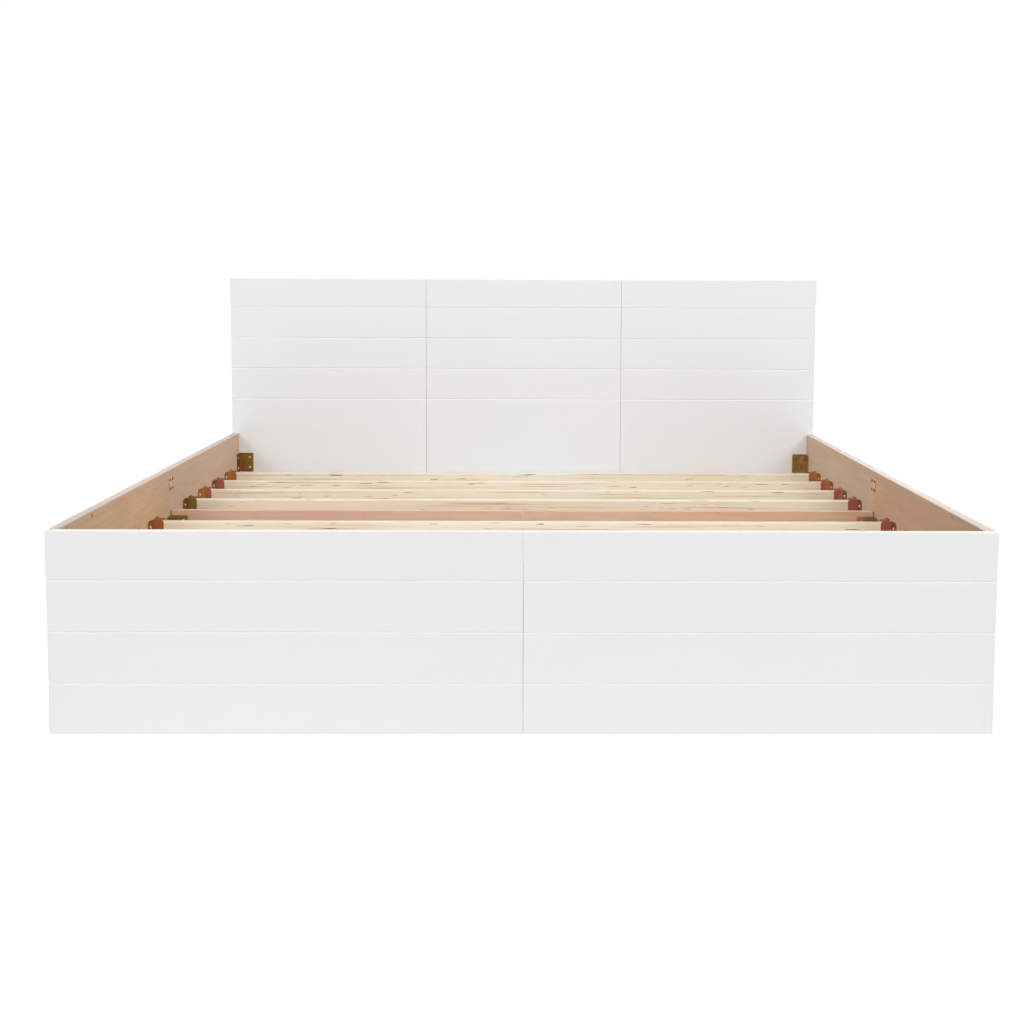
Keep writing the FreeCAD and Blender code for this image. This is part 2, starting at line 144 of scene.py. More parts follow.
class BedDetails(bpy.types.PropertyGroup):
    edge_round: FloatProperty(
        name="Edge rounding", description="Sanded radius of the boards' edges",
        default=1.0 * MM, min=0, unit="LENGTH",
    )
    steel_round: FloatProperty(
        name="Steel rounding", description="Deburred edge of the pressed steel",
        default=0.4 * MM, min=0, unit="LENGTH",
    )
    veneer: FloatProperty(
        name="Veneer", description="Thickness of one ply in the boards' edges",
        default=1.8 * MM, min=0.1 * MM, unit="LENGTH",
    )
    pan_head: FloatProperty(
        name="Pan head", description="Radius of the pan head screws",
        default=3.9 * MM, min=1 * MM, unit="LENGTH",
    )
    batten_screw: FloatProperty(
        name="Batten screw head", description="Radius of the countersunk heads in the battens",
        default=4.5 * MM, min=1 * MM, unit="LENGTH",
    )
    cam: FloatProperty(
        name="Cam fitting", description="Radius of the cam discs in the drawer sides",
        default=7.5 * MM, min=2 * MM, unit="LENGTH",
    )
    round_steps: IntProperty(
        name="Round steps", description="Segments of small round details", default=16, min=8
    )


class BedStage(bpy.types.PropertyGroup):
    eye: FloatVectorProperty(
        name="Camera", description="Place of the camera", subtype="TRANSLATION",
        default=(-0.0015, -4.1597, 0.8881),
    )
    yaw: FloatProperty(
        name="Yaw", description="Turn to the right of straight ahead", subtype="ANGLE",
        default=math.radians(0.7784),
    )
    pitch: FloatProperty(
        name="Pitch", description="Tilt below the horizon", subtype="ANGLE", default=math.radians(5.5173)
    )
    roll: FloatProperty(
        name="Roll", description="Lean about the line of sight", subtype="ANGLE",
        default=math.radians(0.2358),
    )
    lens: FloatProperty(
        name="Lens", description="Focal length for a sensor 36 mm wide", default=57.005, min=1, unit="CAMERA"
    )
    shift: FloatVectorProperty(
        name="Shift", description="Shift of the picture, across and up", size=2, default=(-0.0326, -0.0722)
    )
    ambient: FloatProperty(name="Ambient", description="Light from all round", default=0.36, min=0)
    side_power: FloatProperty(
        name="Side softboxes", description="Power of each softbox beside the bed",
        default=11.6, min=0, unit="POWER",
    )
    top_power: FloatProperty(
        name="Top softbox", description="Power of the softbox overhead", default=9.0, min=0, unit="POWER"
    )
    front_power: FloatProperty(
        name="Front softbox", description="Power of the wide softbox high behind the camera",
        default=100, min=0, unit="POWER",
    )
    floor_near: FloatProperty(
        name="Floor near", description="Plain white in the floor that the camera sees by the bed",
        default=0.5, min=0,
    )


def connect(tree, target, inputs):
    """Sets a node's inputs: a value, an output, or a node whose first output in use is taken."""
    for key, value in dict(inputs).items():
        socket = target.inputs[key]
        if isinstance(value, bpy.types.Node):
            value = next(out for out in value.outputs if out.enabled)
        if isinstance(value, bpy.types.NodeSocket):
            tree.links.new(value, socket)
        elif socket.type == "RGBA":
            socket.default_value = (*value[:3], 1.0)
        else:
            socket.default_value = value


def add_node(tree, kind, inputs=(), **settings):
    """A shader node with its settings and links."""
    made = tree.nodes.new("ShaderNode" + kind)
    for key, value in settings.items():
        setattr(made, key, value)
    connect(tree, made, inputs)
    return made


def new_material(name):
    """Material with a plain shader; returns it with its tree and shader."""
    made = bpy.data.materials.new(name)
    made.use_nodes = True
    tree = made.node_tree
    tree.nodes.clear()
    shader = add_node(tree, "BsdfPrincipled")
    add_node(tree, "OutputMaterial", {"Surface": shader})
    return made, tree, shader


def board_place(tree):
    """Metres on the board itself, moved by a different step for each board."""
    place = add_node(tree, "TexCoord").outputs["Object"]
    chance = add_node(tree, "ObjectInfo").outputs["Random"]
    return add_node(tree, "VectorMath", {0: chance, 1: GRAIN_STEP, 2: place}, operation="MULTIPLY_ADD")


def grain(along, length, width):
    """Texture scale for marks of that length along one axis and that width across it."""
    scale = [1 / width] * 3
    scale[along] = 1 / length
    return scale


def shade(base, factor):
    """A colour made darker or lighter, kept within range."""
    return [min(1.0, c * factor) for c in base]


def finish(name, maker, *values):
    """The material of that name, made on first use."""
    return bpy.data.materials.get(name) or maker(name, *values)


def white_lacquer(name, base):
    """Sprayed satin lacquer on a filled board: even white, a soft sheen and a faint orange peel."""
    made, tree, shader = new_material(name)
    place = board_place(tree)
    cloud = add_node(tree, "TexNoise", {"Vector": place, "Scale": 1 / (420 * MM)})
    # The peel of sprayed lacquer is about 2 mm across, drawn at 5 mm to show.
    peel = add_node(tree, "TexNoise", {"Vector": place, "Scale": 1 / (5 * MM)})
    tone = add_node(tree, "MapRange", {"Value": cloud, "From Min": 0.25, "From Max": 0.75})
    colour_mix = add_node(tree, "Mix", {0: tone, 6: shade(base, 0.985), 7: base}, data_type="RGBA")
    sheen = add_node(tree, "MapRange", {"Value": peel, "To Min": 0.34, "To Max": 0.48})
    bump = add_node(tree, "Bump", {"Height": peel, "Strength": 0.12, "Distance": 0.05 * MM})
    connect(tree, shader, {"Base Color": colour_mix, "Roughness": sheen, "Normal": bump, "IOR": 1.5})
    return made


def veneer(name, base, along, lines=7.0):
    """Rotary-cut hardwood veneer: wide flowing figure, soft fibres and short dark pores."""
    made, tree, shader = new_material(name)
    place = board_place(tree)
    wide = add_node(tree, "Mapping", {"Vector": place, "Scale": grain(along, 900 * MM, 130 * MM)})
    # Fibres are under 1 mm wide, drawn at 5 mm to show; pores are drawn 1.6 mm wide.
    thin = add_node(tree, "Mapping", {"Vector": place, "Scale": grain(along, 240 * MM, 5 * MM)})
    short = add_node(tree, "Mapping", {"Vector": place, "Scale": grain(along, 26 * MM, 1.6 * MM)})
    broad = add_node(tree, "Mapping", {"Vector": place, "Scale": grain(along, 700 * MM, 260 * MM)})
    figure = add_node(tree, "TexNoise", {"Vector": wide, "Scale": 1.0, "Distortion": 0.4})
    fibre = add_node(tree, "TexNoise", {"Vector": thin, "Scale": 1.0, "Detail": 3.0})
    pore = add_node(tree, "TexNoise", {"Vector": short, "Scale": 1.0, "Detail": 1.0})
    patch = add_node(tree, "TexNoise", {"Vector": broad, "Scale": 1.0, "Detail": 1.0})
    turns = add_node(tree, "Math", {0: figure, 1: lines * 2 * math.pi}, operation="MULTIPLY")
    wave = add_node(tree, "Math", {0: turns}, operation="SINE")
    share = add_node(tree, "MapRange", {"Value": patch, "From Min": 0.3, "From Max": 0.7})
    body = add_node(tree, "Mix", {0: share, 6: shade(base, 0.94), 7: shade(base, 1.05)}, data_type="RGBA")
    share = add_node(tree, "MapRange", {"Value": wave, "From Min": -1.0, "To Max": 0.2})
    lined = add_node(tree, "Mix", {0: share, 6: body, 7: shade(base, 0.74)}, data_type="RGBA")
    share = add_node(tree, "MapRange", {"Value": fibre, "From Min": 0.4, "From Max": 0.75, "To Max": 0.3})
    fibred = add_node(tree, "Mix", {0: share, 6: lined, 7: shade(base, 0.7)}, data_type="RGBA")
    share = add_node(tree, "MapRange", {"Value": pore, "From Min": 0.66, "From Max": 0.76, "To Max": 0.4})
    dotted = add_node(tree, "Mix", {0: share, 6: fibred, 7: shade(base, 0.48)}, data_type="RGBA")
    matt = add_node(tree, "MapRange", {"Value": fibre, "To Min": 0.5, "To Max": 0.75})
    bump = add_node(tree, "Bump", {"Height": fibre, "Strength": 0.25, "Distance": 0.15 * MM})
    connect(tree, shader, {"Base Color": dotted, "Roughness": matt, "Normal": bump, "IOR": 1.45})
    return made


def plies(name, base, across, ply):
    """Sawn plywood edge: thin light and dark plies side by side, with small dark voids."""
    made, tree, shader = new_material(name)
    place = add_node(tree, "TexCoord").outputs["Object"]
    depth = add_node(tree, "SeparateXYZ", {0: place}).outputs[across]
    turn = add_node(tree, "Math", {0: depth, 1: math.pi / ply}, operation="MULTIPLY")
    wave = add_node(tree, "Math", {0: turn}, operation="SINE")
    run = add_node(tree, "Mapping", {"Vector": place, "Scale": grain(across, 1.2 * MM, 70 * MM)})
    void = add_node(tree, "TexNoise", {"Vector": run, "Scale": 1.0})
    share = add_node(tree, "MapRange", {"Value": wave, "From Min": -0.35, "From Max": 0.35})
    layered = add_node(tree, "Mix", {0: share, 6: shade(base, 0.72), 7: shade(base, 1.06)}, data_type="RGBA")
    share = add_node(tree, "MapRange", {"Value": void, "From Min": 0.66, "From Max": 0.72, "To Max": 0.7})
    marked = add_node(tree, "Mix", {0: share, 6: layered, 7: shade(base, 0.25)}, data_type="RGBA")
    matt = add_node(tree, "MapRange", {"Value": wave, "From Min": -1.0, "To Min": 0.75, "To Max": 0.62})
    bump = add_node(tree, "Bump", {"Height": wave, "Strength": 0.2, "Distance": 0.1 * MM})
    connect(tree, shader, {"Base Color": marked, "Roughness": matt, "Normal": bump, "IOR": 1.45})
    return made


def laminated_softwood(name, base, line, streak):
    """Laminated softwood on edge: pale veneers in layers, with tan glue lines and brown resin streaks."""
    made, tree, shader = new_material(name)
    place = board_place(tree)
    # Veneers are 3 mm thick; their edges are drawn at 5 mm to show.
    level = add_node(tree, "Mapping", {"Vector": place, "Scale": grain(0, 1600 * MM, 5 * MM)})
    thin = add_node(tree, "Mapping", {"Vector": place, "Scale": grain(0, 180 * MM, 2.4 * MM)})
    long = add_node(tree, "Mapping", {"Vector": place, "Scale": grain(0, 380 * MM, 4 * MM)})
    short = add_node(tree, "Mapping", {"Vector": place, "Scale": grain(0, 75 * MM, 4 * MM)})
    broad = add_node(tree, "Mapping", {"Vector": place, "Scale": grain(0, 500 * MM, 60 * MM)})
    layer = add_node(tree, "TexNoise", {"Vector": level, "Scale": 1.0, "Detail": 1.0})
    fibre = add_node(tree, "TexNoise", {"Vector": thin, "Scale": 1.0})
    seam = add_node(tree, "TexNoise", {"Vector": long, "Scale": 1.0, "Detail": 1.0})
    mark = add_node(tree, "TexNoise", {"Vector": short, "Scale": 1.0, "Detail": 1.0, "Distortion": 0.2})
    warm = add_node(tree, "TexNoise", {"Vector": broad, "Scale": 1.0, "Detail": 1.0})
    share = add_node(tree, "MapRange", {"Value": warm, "From Min": 0.35, "From Max": 0.65})
    body = add_node(tree, "Mix", {0: share, 6: base, 7: shade(base, 0.95)}, data_type="RGBA")
    share = add_node(tree, "MapRange", {"Value": layer, "From Min": 0.35, "From Max": 0.65, "To Max": 0.35})
    layered = add_node(tree, "Mix", {0: share, 6: body, 7: shade(base, 0.84)}, data_type="RGBA")
    share = add_node(tree, "MapRange", {"Value": fibre, "From Min": 0.45, "From Max": 0.8, "To Max": 0.35})
    fibred = add_node(tree, "Mix", {0: share, 6: layered, 7: shade(base, 0.76)}, data_type="RGBA")
    share = add_node(tree, "MapRange", {"Value": seam, "From Min": 0.58, "From Max": 0.66, "To Max": 0.65})
    seamed = add_node(tree, "Mix", {0: share, 6: fibred, 7: line}, data_type="RGBA")
    share = add_node(tree, "MapRange", {"Value": mark, "From Min": 0.68, "From Max": 0.73, "To Max": 0.85})
    marked = add_node(tree, "Mix", {0: share, 6: seamed, 7: streak}, data_type="RGBA")
    matt = add_node(tree, "MapRange", {"Value": fibre, "To Min": 0.5, "To Max": 0.78})
    bump = add_node(tree, "Bump", {"Height": fibre, "Strength": 0.25, "Distance": 0.15 * MM})
    connect(tree, shader, {"Base Color": marked, "Roughness": matt, "Normal": bump, "IOR": 1.45})
    return made


def oversprayed_edge(name, thin, lacquer, outside, inside):
    """Board edge with overspray: white at the show face, and so thin behind that the wood tints it."""
    made, tree, shader = new_material(name)
    place = add_node(tree, "TexCoord").outputs["Object"]
    across = add_node(tree, "SeparateXYZ", {0: place}).outputs["X"]
    reach = add_node(tree, "Math", {0: across}, operation="ABSOLUTE")
    run = add_node(tree, "Mapping", {"Vector": place, "Scale": grain(1, 160 * MM, 9 * MM)})
    drift = add_node(tree, "TexNoise", {"Vector": run, "Scale": 1.0})
    ends = {"Value": reach, "From Min": inside, "From Max": outside, "To Min": 0.0, "To Max": 0.6}
    share = add_node(tree, "MapRange", ends)
    ragged = add_node(tree, "Math", {0: share, 1: drift})
    coat = add_node(tree, "MapRange", {"Value": ragged, "From Min": 0.95, "From Max": 1.25})
    tinted = add_node(tree, "Mix", {0: coat, 6: thin, 7: lacquer}, data_type="RGBA")
    matt = add_node(tree, "MapRange", {"Value": drift, "To Min": 0.45, "To Max": 0.7})
    bump = add_node(tree, "Bump", {"Height": drift, "Strength": 0.15, "Distance": 0.1 * MM})
    connect(tree, shader, {"Base Color": tinted, "Roughness": matt, "Normal": bump, "IOR": 1.5})
    return made


def passivated_zinc(name, inner, outer, fleck, flecked=0.35, reach=28 * MM, spot=12 * MM):
    """Yellow-passivated zinc on pressed steel: a thin film that drifts between gold, red, brown and green."""
    made, tree, shader = new_material(name)
    place = add_node(tree, "TexCoord").outputs["Object"]
    across = add_node(tree, "SeparateXYZ", {0: place}).outputs["X"]
    away = add_node(tree, "Math", {0: across}, operation="ABSOLUTE")
    film = add_node(tree, "TexNoise", {"Vector": place, "Scale": 1 / (30 * MM), "Distortion": 0.6})
    mottle = add_node(tree, "TexNoise", {"Vector": place, "Scale": 1 / spot, "Detail": 3.0})
    drawn = add_node(tree, "Mapping", {"Vector": place, "Scale": grain(2, 12 * MM, 1.5 * MM)})
    lines = add_node(tree, "TexNoise", {"Vector": drawn, "Scale": 1.0})
    ends = {"Value": away, "From Min": RAIL_FACE - reach, "From Max": RAIL_FACE}
    drift = add_node(tree, "Math", {0: add_node(tree, "MapRange", ends), 1: film})
    share = add_node(tree, "MapRange", {"Value": drift, "From Min": 0.95, "From Max": 1.3})
    tinted = add_node(tree, "Mix", {0: share, 6: inner, 7: outer}, data_type="RGBA")
    share = add_node(tree, "MapRange", {"Value": mottle, "From Min": 0.45, "From Max": 0.65, "To Max": flecked})
    mottled = add_node(tree, "Mix", {0: share, 6: tinted, 7: fleck}, data_type="RGBA")
    gloss = add_node(tree, "MapRange", {"Value": mottle, "To Min": 0.3, "To Max": 0.55})
    bump = add_node(tree, "Bump", {"Height": lines, "Strength": 0.2, "Distance": 0.05 * MM})
    connect(tree, shader, {"Base Color": mottled, "Roughness": gloss, "Normal": bump, "Metallic": 0.65})
    return made


def rolled_zinc(name, base):
    """Bright zinc on rolled channel: silver with fine lines along the rolling direction."""
    made, tree, shader = new_material(name)
    place = add_node(tree, "TexCoord").outputs["Object"]
    rolled = add_node(tree, "Mapping", {"Vector": place, "Scale": grain(0, 180 * MM, 1.5 * MM)})
    broad = add_node(tree, "Mapping", {"Vector": place, "Scale": grain(0, 60 * MM, 18 * MM)})
    line = add_node(tree, "TexNoise", {"Vector": rolled, "Scale": 1.0})
    cloud = add_node(tree, "TexNoise", {"Vector": broad, "Scale": 1.0})
    share = add_node(tree, "MapRange", {"Value": cloud, "From Min": 0.3, "From Max": 0.7})
    tinted = add_node(tree, "Mix", {0: share, 6: shade(base, 0.85), 7: base}, data_type="RGBA")
    gloss = add_node(tree, "MapRange", {"Value": line, "To Min": 0.18, "To Max": 0.42})
    bump = add_node(tree, "Bump", {"Height": line, "Strength": 0.15, "Distance": 0.05 * MM})
    connect(tree, shader, {"Base Color": tinted, "Roughness": gloss, "Normal": bump, "Metallic": 1.0})
    return made


def dress(node, materials, pick=None):
    """Gives a CAD node its materials; pick chooses one by a face's normal and centre."""
    mesh = NODES[node].data
    mesh.materials.clear()
    for material in materials:
        mesh.materials.append(material)
    for face in mesh.polygons:
        face.material_index = pick(face.normal, face.center) if pick else 0


def soften(node, radius, steps=2):
    """Rounds a node's edges; its faces arrive apart, so they are welded first."""
    shape = NODES[node]
    weld = shape.modifiers.new("weld", "WELD")
    weld.merge_threshold = WELD_REACH
    bevel = shape.modifiers.new("edge", "BEVEL")
    bevel.width = radius
    bevel.segments = steps
    bevel.limit_method = "ANGLE"
    bevel.angle_limit = math.radians(30)
    bevel.use_clamp_overlap = True
    shape.modifiers.new("normals", "WEIGHTED_NORMAL")


def islands(node):
    """Points of each separate solid in a CAD node."""
    grid = bmesh.new()
    grid.from_mesh(NODES[node].data)
    bmesh.ops.remove_doubles(grid, verts=grid.verts, dist=WELD_REACH)
    left = set(grid.verts)
    found = []
    for start in grid.verts[:]:
        if start not in left:
            continue
        left.discard(start)
        reached = [start]
        for vert in reached:
            for edge in vert.link_edges:
                other = edge.other_vert(vert)
                if other in left:
                    left.discard(other)
                    reached.append(other)
        found.append([v.co.copy() for v in reached])
    grid.free()
    return found


def new_piece(name, grid, materials, body, slot, *nodes):
    """A mesh piece from a bmesh, riding on a body; it stands for any nodes that are named."""
    bmesh.ops.recalc_face_normals(grid, faces=grid.faces)
    mesh = bpy.data.meshes.new(name)
    grid.to_mesh(mesh)
    grid.free()
    for material in materials:
        mesh.materials.append(material)
    made = bpy.data.objects.new(name, mesh)
    bpy.context.scene.collection.objects.link(made)
    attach(made, body)
    if nodes:
        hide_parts(*nodes)
    return made


def lathe(grid, profile, steps, place):
    """Turns a profile of (radius, height) about an axis and returns its rings of points."""
    rows = []
    for radius, height in profile:
        turns = [2 * math.pi * i / steps for i in range(steps if radius else 1)]
        ring = [Vector((radius * math.cos(a), radius * math.sin(a), height)) for a in turns]
        rows.append([grid.verts.new(place @ point) for point in ring])
    for low, high in zip(rows, rows[1:]):
        for i in range(steps):
            j = (i + 1) % steps
            ring = [low[i % len(low)], low[j % len(low)], high[j % len(high)], high[i % len(high)]]
            grid.faces.new(list(dict.fromkeys(ring))).smooth = True
    return rows


def facing(origin, axis):
    """Placement at a point with its +Z along an axis."""
    turn = Vector((0, 0, 1)).rotation_difference(axis).to_matrix().to_4x4()
    return Matrix.Translation(origin) @ turn


def crossed_head(grid, profile, steps, place, arm, deep):
    """Turned head whose flat top has a cross recess with arms of that share of its radius."""
    rim = lathe(grid, profile, steps, place)[-1]
    radius, top = profile[-1]
    reach, slot = arm * radius, 0.3 * arm * radius
    outline = [Vector((x, y, top)) for x, y in ((reach, -slot), (reach, slot), (slot, slot))]
    outline = [Matrix.Rotation(turn * math.pi / 2, 3, "Z") @ p for turn in range(4) for p in outline]
    upper = [grid.verts.new(place @ p) for p in outline]
    lower = [grid.verts.new(place @ Vector((0.7 * p.x, 0.7 * p.y, top - deep))) for p in outline]
    edges = [grid.edges.get((rim[i - 1], rim[i])) for i in range(len(rim))]
    edges += [grid.edges.new((upper[i - 1], upper[i])) for i in range(len(upper))]
    bmesh.ops.triangle_fill(grid, use_beauty=True, edges=edges)
    for i in range(len(upper)):
        grid.faces.new((upper[i - 1], upper[i], lower[i], lower[i - 1]))
    grid.faces.new(lower)


def pan_head_screw(grid, radius, reach, steps, place):
    """Pan head screw with its seat at the placement's origin."""
    shank, tall = 0.5 * radius, 0.54 * radius
    profile = [(0, -reach), (0.3 * shank, -reach), (shank, 2 * shank - reach), (shank, 0), (radius, 0)]
    profile += [(radius, 0.4 * tall), (0.92 * radius, 0.75 * tall), (0.72 * radius, tall)]
    crossed_head(grid, profile, steps, place, 0.8, 0.6 * tall)


def seats(node):
    """Seat, outward direction and shank length of each screw in a CAD node."""
    found = []
    for points in islands(node):
        low = Vector(map(min, zip(*points)))
        high = Vector(map(max, zip(*points)))
        middle = (low + high) / 2
        axis = max(range(3), key=lambda i: high[i] - low[i])
        spread = [[abs(p[i] - middle[i]) for i in range(3) if i != axis] for p in points]
        widest = max(range(len(points)), key=lambda i: math.hypot(*spread[i]))
        seat = middle.copy()
        seat[axis] = points[widest][axis]
        out = Vector((0, 0, 0))
        out[axis] = 1 if seat[axis] > middle[axis] else -1
        found.append((seat, out, max(high[axis] - seat[axis], seat[axis] - low[axis])))
    return found


class BED_OT_white_boards(bpy.types.Operator):
    """Finish the headboard and the foot panels in white lacquer, with veneer behind"""

    bl_idname = "bed.white_boards"
    bl_label = "Headboard and foot panels"

    def execute(self, context):
        colours, details = context.scene.bed_colours, context.scene.bed_details
        back = finish("inside_veneer", veneer, colours.inside, 0)
        sawn = finish("board_plywood_edge", plies, colours.inside, 1, details.veneer)
        # Painted highlight: the top edges take a lighter copy of the lacquer.
        top = finish("lacquered_top_edge", white_lacquer, colours.top_edge_painted_highlight)

        def pick(normal, centre):
            if normal.y > 0.9:
                return 1
            if abs(normal.z) > 0.9:
                return 2 if normal.z < 0 else 3
            return 4 if normal.z > 0.3 else 0

        # Painted highlight: the lower slopes of the foot panels' grooves, which face up, take a whiter copy of
        # the lacquer, and those of the headboard take the foot's lacquer, lighter than the headboard's.
        for tone, slope, names in (("lacquer", "groove", FOOT_PANELS), ("headboard", "lacquer", HEAD_PANELS)):
            lacquer, painted_highlight_slope = (
                finish("white_satin_" + part, white_lacquer, getattr(colours, part)) for part in (tone, slope)
            )
            for name in names:
                dress(name, [lacquer, back, sawn, top, painted_highlight_slope], pick)
                soften(name, details.edge_round)
        return {"FINISHED"}


class BED_OT_side_rails(bpy.types.Operator):
    """Finish the side rails: lacquer outside, bare veneer inside, oversprayed top edge"""

    bl_idname = "bed.side_rails"
    bl_label = "Side rails"

    def execute(self, context):
        colours, details = context.scene.bed_colours, context.scene.bed_details
        lacquer = finish("white_satin_lacquer", white_lacquer, colours.lacquer)
        span = (RAIL_OUTSIDE, RAIL_FACE)
        sawn = finish("rail_plywood_edge", plies, colours.rail_left_foot, 0, details.veneer)
        for side, way in SIDES.items():
            # The left edge's darker thin tone is painted shade.
            thin = getattr(colours, "edge_" + side)
            edge = finish("oversprayed_edge_" + side, oversprayed_edge, thin, colours.lacquer, *span)

            def pick(normal, centre, way=way):
                if normal.x * way > 0.3:
                    return 0
                if normal.z > 0.5:
                    return 2
                return 1 if normal.x * way < -0.3 else 3

            for end in ("foot", "head"):
                name = "rail_%s_%s" % (side, end)
                inside = finish(name + "_veneer", veneer, getattr(colours, name), 1)
                dress("side_" + name, [lacquer, inside, edge, sawn], pick)
                soften("side_" + name, details.edge_round)
        return {"FINISHED"}


class BED_OT_divider(bpy.types.Operator):
    """Finish the transverse divider and the cleats behind the joints, and screw the cleats on"""

    bl_idname = "bed.divider"
    bl_label = "Divider and cleats"

    FIGURE_LINES = 14.0
    SCREW_ROWS = (0.15, 0.5, 0.85)  # shares of a cleat's height
    SCREW_INSET = 25 * MM
    SCREW_LENGTH = 15 * MM

    def execute(self, context):
        colours, details = context.scene.bed_colours, context.scene.bed_details
        face = finish("divider_veneer", veneer, colours.divider, 0, self.FIGURE_LINES)
        edge = finish("divider_plywood_edge", plies, colours.divider, 1, details.veneer)
        upright = finish("cleat_veneer", veneer, colours.inside, 2)
        zinc = finish("passivated_zinc_screw", passivated_zinc, colours.pale, colours.pale, colours.gold)

        def pick(normal, centre):
            return 0 if abs(normal.y) > 0.5 else 1

        for name in DIVIDERS:
            dress(name, [face, edge], pick)
            soften(name, details.edge_round)
        for name in ("foot_joint_cleat", "divider_joint_cleat"):
            dress(name, [upright, edge], pick)
            soften(name, details.edge_round)
            low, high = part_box(name)
            grid = bmesh.new()
            for share in self.SCREW_ROWS:
                for x in (low.x + self.SCREW_INSET, high.x - self.SCREW_INSET):
                    at = facing(Vector((x, high.y, low.z + share * (high.z - low.z))), Vector((0, 1, 0)))
                    pan_head_screw(grid, details.pan_head, self.SCREW_LENGTH, details.round_steps, at)
            new_piece(name + "_screws", grid, [zinc], "frame", "yellow_zinc_steel")
        return {"FINISHED"}


class BED_OT_slats(bpy.types.Operator):
    """Finish the slats in laminated softwood"""

    bl_idname = "bed.slats"
    bl_label = "Slats"

    def execute(self, context):
        colours, details = context.scene.bed_colours, context.scene.bed_details
        woods = []
        for tone in ("face", "pale", "top"):
            tones = (getattr(colours, "slat_" + tone), colours.seam, colours.streak)
            woods.append(finish("laminated_softwood_" + tone, laminated_softwood, *tones))
        for number, name in enumerate(SLATS):
            # Slats in the foot half take the paler tone: partly paler wood, partly painted light against the
            # foot panel's shadow.
            face = 1 if number < len(SLATS) / 2 else 0
            # Top faces take the darker slat top copy, which is painted shade.
            dress(name, woods, lambda normal, centre: 2 if normal.z > 0.5 else face)
            soften(name, details.edge_round)
        return {"FINISHED"}


class BED_OT_steel_fittings(bpy.types.Operator):
    """Finish the slat hangers, angle brackets and joint plates in passivated zinc"""

    bl_idname = "bed.steel_fittings"
    bl_label = "Hangers, brackets and plates"

    # Film of each hanger from the foot end: inner end of its walls, their end at the rail, its flanges
    HANGERS = {
        "left": ("ccg", "rrb", "oog", "ccr", "obb", "rgg", "rrb", "cgg"),
        "right": ("rcb", "ggr", "oob", "rcb", "rrb", "rgo", "rgb", "cgb"),
    }
    TONES = {"r": "red", "c": "copper", "g": "gold", "o": "olive", "b": "brown", "d": "dark", "t": "tan"}
    FLECKS = {"r": "c", "c": "r", "g": "o", "o": "b", "b": "r", "d": "b"}
    FLANGE_REACH = 5 * MM  # faces this near to the rail belong to the flanges
    # Film of each bracket: its tones, the share of flecks, how far the outer tone reaches, the flecks' size
    BRACKETS = (
        ("ob", 0.35, 100 * MM),
        ("ot", 0.8, 60 * MM, 20 * MM),
        ("oo", 0.35),
        ("go", 0.35, 60 * MM),
        ("cg", 0.35),
    )

    def zinc(self, colours, part, code, *values):
        """Film named by the letters of its inner and outer tone."""
        inner, outer = (getattr(colours, self.TONES[letter]) for letter in code)
        fleck = getattr(colours, self.TONES[self.FLECKS[code[0]]])
        return finish("passivated_zinc_%s_%s" % (part, code), passivated_zinc, inner, outer, fleck, *values)

    def execute(self, context):
        colours, details = context.scene.bed_colours, context.scene.bed_details
        middles = [(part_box(name)[0].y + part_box(name)[1].y) / 2 for name in SLATS]
        for side, films in self.HANGERS.items():
            codes = sorted({code[:2] for code in films} | {2 * code[2] for code in films} | {"dd"})

            def pick(normal, centre):
                code = films[min(range(len(middles)), key=lambda i: abs(middles[i] - centre.y))]
                # Upward faces take the dark tone, partly painted shade.
                if normal.z > 0.5:
                    return codes.index("dd")
                flange = abs(normal.x) > 0.5 and RAIL_FACE - abs(centre.x) < self.FLANGE_REACH
                return codes.index(2 * code[2] if flange else code[:2])

            dress("slat_hangers_" + side, [self.zinc(colours, "hanger", code) for code in codes], pick)
            soften("slat_hangers_" + side, details.steel_round)

        def bracket_film(normal, centre):
            right = centre.x > 0
            if HEAD_FACE - centre.y < CORNER_ZONE:
                return 1 if right else 0
            if centre.y - FOOT_BACK < CORNER_ZONE:
                return 4
            return 3 if right else 2

        dress("angle_brackets", [self.zinc(colours, "bracket", *film) for film in self.BRACKETS], bracket_film)
        plate = finish("passivated_zinc_plate", passivated_zinc, colours.plate, colours.plate, colours.pale)
        dress("rail_joint_plates", [plate])
        for name in ("angle_brackets", "rail_joint_plates"):
            soften(name, details.steel_round)
        return {"FINISHED"}


class BED_OT_screws(bpy.types.Operator):
    """Turn the pan head screws of the hangers, brackets and joint plates"""

    bl_idname = "bed.screws"
    bl_label = "Pan head screws"

    def execute(self, context):
        colours, details = context.scene.bed_colours, context.scene.bed_details
        zinc = finish("passivated_zinc_screw", passivated_zinc, colours.pale, colours.pale, colours.gold)
        dark = finish("passivated_zinc_dark_screw", passivated_zinc, colours.brown, colours.brown, colours.gold)
        for name in ("hanger_screws", "bracket_screws", "joint_plate_screws"):
            grid = bmesh.new()
            for seat, out, reach in seats(name):
                made = len(grid.faces)
                pan_head_screw(grid, details.pan_head, reach, details.round_steps, facing(seat, out))
                dull = name.startswith("joint") or (HEAD_FACE - seat.y < CORNER_ZONE and seat.x > 0)
                for face in list(grid.faces)[made:]:
                    face.material_index = 1 if dull else 0
            new_piece("turned_" + name, grid, [zinc, dark], "frame", "yellow_zinc_steel", name)
        return {"FINISHED"}


